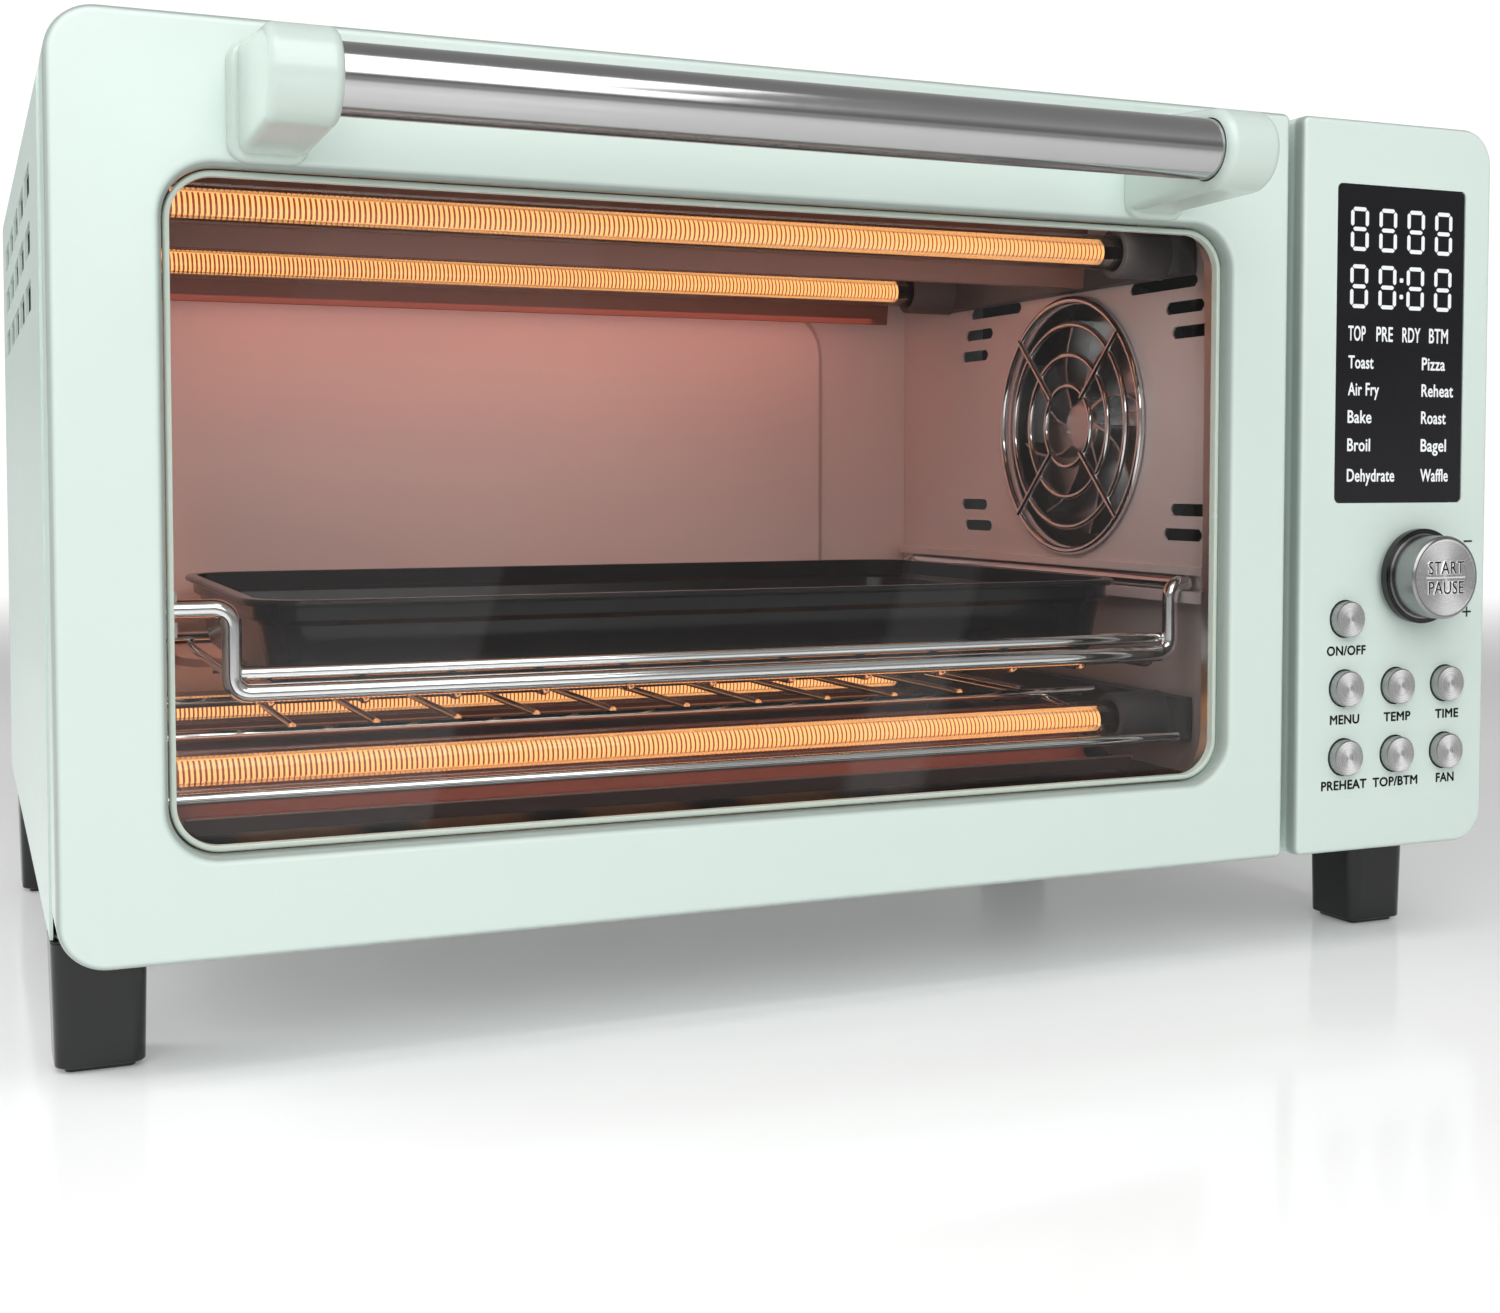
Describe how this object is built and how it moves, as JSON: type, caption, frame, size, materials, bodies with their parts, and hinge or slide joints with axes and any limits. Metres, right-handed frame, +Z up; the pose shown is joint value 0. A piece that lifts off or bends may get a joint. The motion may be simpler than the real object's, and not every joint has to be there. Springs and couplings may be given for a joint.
{
  "type": "toaster oven",
  "caption": "Countertop toaster oven with a drop-down glass door, quartz heaters, wire rack and pan, side fan, display, buttons and a push-and-turn knob.",
  "frame": {"origin": "on the worktop under the middle of the whole oven, handle to cord gland", "axes": "+X to the right seen from the front, +Y to the back (the door and panel face -Y), +Z up"},
  "size_m": [0.4774, 0.4484, 0.2875],
  "materials": {
    "mint_paint": "satin mint baked paint",
    "mint_plastic": "mint heat-proof plastic",
    "zinc_steel": "zinc-coated sheet",
    "cavity_steel": "aluminised cavity sheet, satin",
    "dark_steel": "dark enamelled sheet",
    "quartz_glass": "clear quartz tube",
    "glowing_wire": "heater wire, glowing orange",
    "ceramic_black": "dark ceramic holder",
    "chrome_wire": "bright chrome plate",
    "motor_steel": "plated steel",
    "display_glass": "glossy black display window",
    "circuit_board": "green circuit board",
    "black_plastic": "gloss black moulding",
    "door_glass": "clear tempered glass",
    "black_enamel": "gloss black enamel",
    "fan_aluminium": "stamped aluminium",
    "brushed_caps": "spun-brushed metal caps"
  },
  "bodies": {
    "oven_body": {"outer_casing": "mint_paint", "rear_cover": "zinc_steel", "base_plate": "zinc_steel", "front_frame": "mint_paint", "cavity_left_wall": "cavity_steel", "cavity_right_wall": "cavity_steel", "cavity_top": "cavity_steel", "cavity_floor": "cavity_steel", "cavity_rear_wall": "cavity_steel", "crumb_tray": "dark_steel", "quartz_tube_top_front": "quartz_glass", "quartz_tube_top_rear": "quartz_glass", "quartz_tube_bottom_front": "quartz_glass", "quartz_tube_bottom_rear": "quartz_glass", "heating_coil_top_front": "glowing_wire", "heating_coil_top_rear": "glowing_wire", "heating_coil_bottom_front": "glowing_wire", "heating_coil_bottom_rear": "glowing_wire", "element_holder_top_left": "ceramic_black", "element_holder_top_right": "ceramic_black", "element_holder_bottom_left": "ceramic_black", "element_holder_bottom_right": "ceramic_black", "reflector_top": "dark_steel", "reflector_bottom": "dark_steel", "element_guard": "chrome_wire", "fan_guard": "chrome_wire", "fan_housing": "zinc_steel", "fan_motor": "motor_steel", "control_panel": "mint_paint", "display_lens": "display_glass", "control_board": "circuit_board", "power_board": "circuit_board", "encoder_body": "motor_steel", "cord_gland": "black_plastic", "foot_front_left": "black_plastic", "foot_front_right": "black_plastic", "foot_rear_left": "black_plastic", "foot_rear_right": "black_plastic", "hinge_bracket_left": "zinc_steel", "hinge_bracket_right": "zinc_steel"},
    "door": {"door_frame": "mint_paint", "door_glass": "door_glass", "window_trim": "mint_plastic", "door_inner_panel": "zinc_steel", "handle_bar": "chrome_wire", "handle_bracket_left": "mint_plastic", "handle_bracket_right": "mint_plastic", "hinge_rod": "zinc_steel"},
    "rack": {"wire_rack": "chrome_wire", "baking_pan": "black_enamel"},
    "fan": {"fan_impeller": "fan_aluminium"},
    "encoder_plunger": {"encoder_shaft": "motor_steel"},
    "knob": {"knob": "brushed_caps"},
    "button_on_off": {"button_on_off": "brushed_caps"},
    "button_menu": {"button_menu": "brushed_caps"},
    "button_temp": {"button_temp": "brushed_caps"},
    "button_time": {"button_time": "brushed_caps"},
    "button_preheat": {"button_preheat": "brushed_caps"},
    "button_top_bottom": {"button_top_bottom": "brushed_caps"},
    "button_fan": {"button_fan": "brushed_caps"}
  },
  "joints": [
    {"name": "door_hinge", "type": "hinge", "parent": "oven_body", "child": "door", "pos_m": [-0.04355, -0.15085, 0.044], "axis": [1, 0, 0], "range_deg": [0, 80], "stiffness_Nm_per_rad": 0.8, "springref_deg": -34.38},
    {"name": "rack_slide", "type": "slide", "parent": "oven_body", "child": "rack", "axis": [0, -1, 0], "range_m": [0, 0.084]},
    {"name": "fan_spin", "type": "hinge", "parent": "oven_body", "child": "fan", "pos_m": [0.15625, -0.04285, 0.1865], "axis": [1, 0, 0], "continuous": true},
    {"name": "knob_push", "type": "slide", "parent": "oven_body", "child": "encoder_plunger", "axis": [0, 1, 0], "range_m": [0, 0.0015], "stiffness_N_per_m": 1200, "springref_m": -0.002},
    {"name": "knob_turn", "type": "hinge", "parent": "encoder_plunger", "child": "knob", "pos_m": [0.20625, -0.16885, 0.1322], "axis": [0, -1, 0], "continuous": true},
    {"name": "press_on_off", "type": "slide", "parent": "oven_body", "child": "button_on_off", "axis": [0, 1, 0], "range_m": [0, 0.001], "stiffness_N_per_m": 600, "springref_m": -0.002},
    {"name": "press_menu", "type": "slide", "parent": "oven_body", "child": "button_menu", "axis": [0, 1, 0], "range_m": [0, 0.001], "stiffness_N_per_m": 600, "springref_m": -0.002},
    {"name": "press_temp", "type": "slide", "parent": "oven_body", "child": "button_temp", "axis": [0, 1, 0], "range_m": [0, 0.001], "stiffness_N_per_m": 600, "springref_m": -0.002},
    {"name": "press_time", "type": "slide", "parent": "oven_body", "child": "button_time", "axis": [0, 1, 0], "range_m": [0, 0.001], "stiffness_N_per_m": 600, "springref_m": -0.002},
    {"name": "press_preheat", "type": "slide", "parent": "oven_body", "child": "button_preheat", "axis": [0, 1, 0], "range_m": [0, 0.001], "stiffness_N_per_m": 600, "springref_m": -0.002},
    {"name": "press_top_bottom", "type": "slide", "parent": "oven_body", "child": "button_top_bottom", "axis": [0, 1, 0], "range_m": [0, 0.001], "stiffness_N_per_m": 600, "springref_m": -0.002},
    {"name": "press_fan", "type": "slide", "parent": "oven_body", "child": "button_fan", "axis": [0, 1, 0], "range_m": [0, 0.001], "stiffness_N_per_m": 600, "springref_m": -0.002}
  ],
  "couplings": [
    {"joint": "rack_slide", "follows": "door_hinge", "m_per_rad": 0.06}
  ]
}
